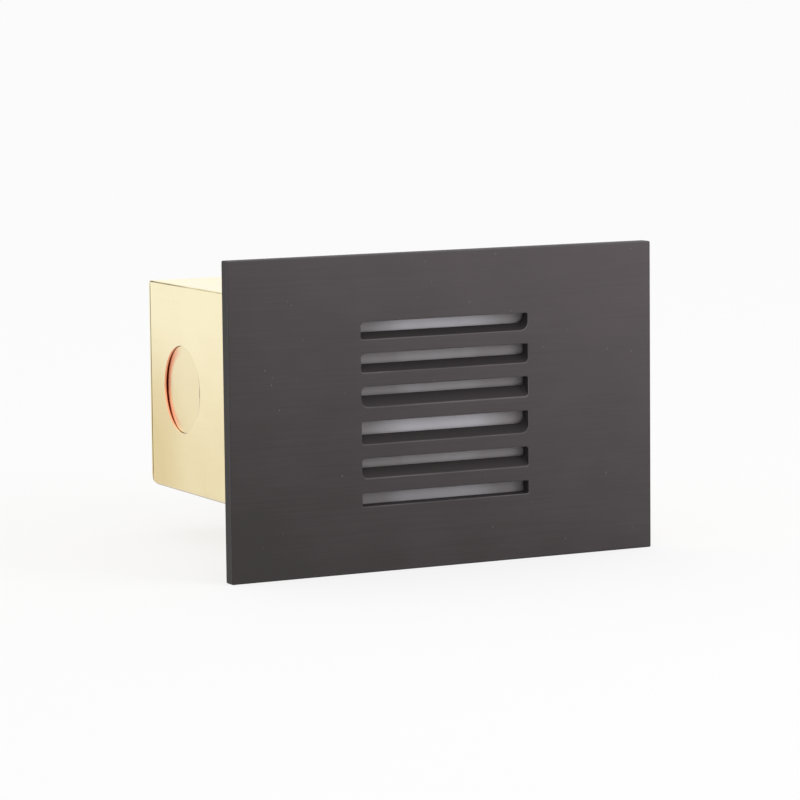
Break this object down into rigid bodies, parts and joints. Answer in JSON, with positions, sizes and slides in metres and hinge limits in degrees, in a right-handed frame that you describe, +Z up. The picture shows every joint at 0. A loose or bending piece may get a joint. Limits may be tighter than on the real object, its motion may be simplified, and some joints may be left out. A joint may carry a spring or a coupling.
{
  "type": "recessed step light",
  "caption": "Rectangular louvred faceplate with a frosted lens on a folded brass wall box that holds a two-pin lamp, its socket and its wiring.",
  "frame": {"origin": "centre of the wall plane, on which the back of the faceplate rests", "axes": "+X to the right of someone facing the light, +Y into the wall, +Z up"},
  "size_m": [0.1142, 0.0889, 0.0762],
  "materials": {
    "plate_bronze": "dark bronze, brushed satin",
    "box_brass": "pale satin sheet brass",
    "gasket_rubber": "matt",
    "frosted_glass": "frosted",
    "plated_steel": "zinc plated",
    "spring_steel": "rolled stainless strip",
    "reflector_aluminium": "bright",
    "socket_ceramic": "unglazed steatite",
    "contact_brass": "machined",
    "lamp_plastic": "moulded white",
    "pin_metal": "nickel plated",
    "board_white": "white lacquer over aluminium",
    "chip_phosphor": "yellow phosphor",
    "block_nylon": "natural nylon",
    "bush_nylon": "black nylon",
    "lead_red": "silicone insulation",
    "lead_black": "silicone insulation"
  },
  "bodies": {
    "box": {"back_box": "box_brass", "lamp_bracket": "plated_steel", "bracket_rivets": "contact_brass", "reflector": "reflector_aluminium", "socket_body": "socket_ceramic", "socket_contacts": "contact_brass", "socket_screws": "plated_steel", "socket_nuts": "plated_steel", "wire_bush": "bush_nylon", "terminal_block": "block_nylon", "terminal_barrels": "contact_brass", "terminal_screws": "plated_steel", "block_screw": "plated_steel", "block_nut": "plated_steel", "lamp_lead_left": "lead_black", "lamp_lead_right": "lead_red"},
    "face": {"faceplate": "plate_bronze", "lens_gasket": "gasket_rubber", "lens_glass": "frosted_glass", "lens_frame": "plated_steel", "lens_frame_screws": "plated_steel", "spring_clip_left": "spring_steel", "spring_clip_right": "spring_steel", "clip_rivets": "plated_steel"},
    "lamp": {"lamp_base": "lamp_plastic", "lamp_pins": "pin_metal", "lamp_board": "board_white", "led_chips": "chip_phosphor"},
    "left_blank": {"knockout_left": "box_brass"},
    "right_blank": {"knockout_right": "box_brass"}
  },
  "joints": [
    {"name": "face_pull", "type": "slide", "parent": "box", "child": "face", "axis": [0, -1, 0], "range_m": [0, 0.06]},
    {"name": "lamp_pull", "type": "slide", "parent": "box", "child": "lamp", "axis": [0, -1, 0], "range_m": [0, 0.0075]},
    {"name": "knockout_left_bend", "type": "hinge", "parent": "box", "child": "left_blank", "pos_m": [-0.0383, 0.0546, 0.0005], "axis": [0, 0, -1], "range_deg": [-2.2, 60]},
    {"name": "knockout_right_bend", "type": "hinge", "parent": "box", "child": "right_blank", "pos_m": [0.0383, 0.0546, 0.0005], "axis": [0, 0, 1], "range_deg": [-2.2, 60]}
  ]
}
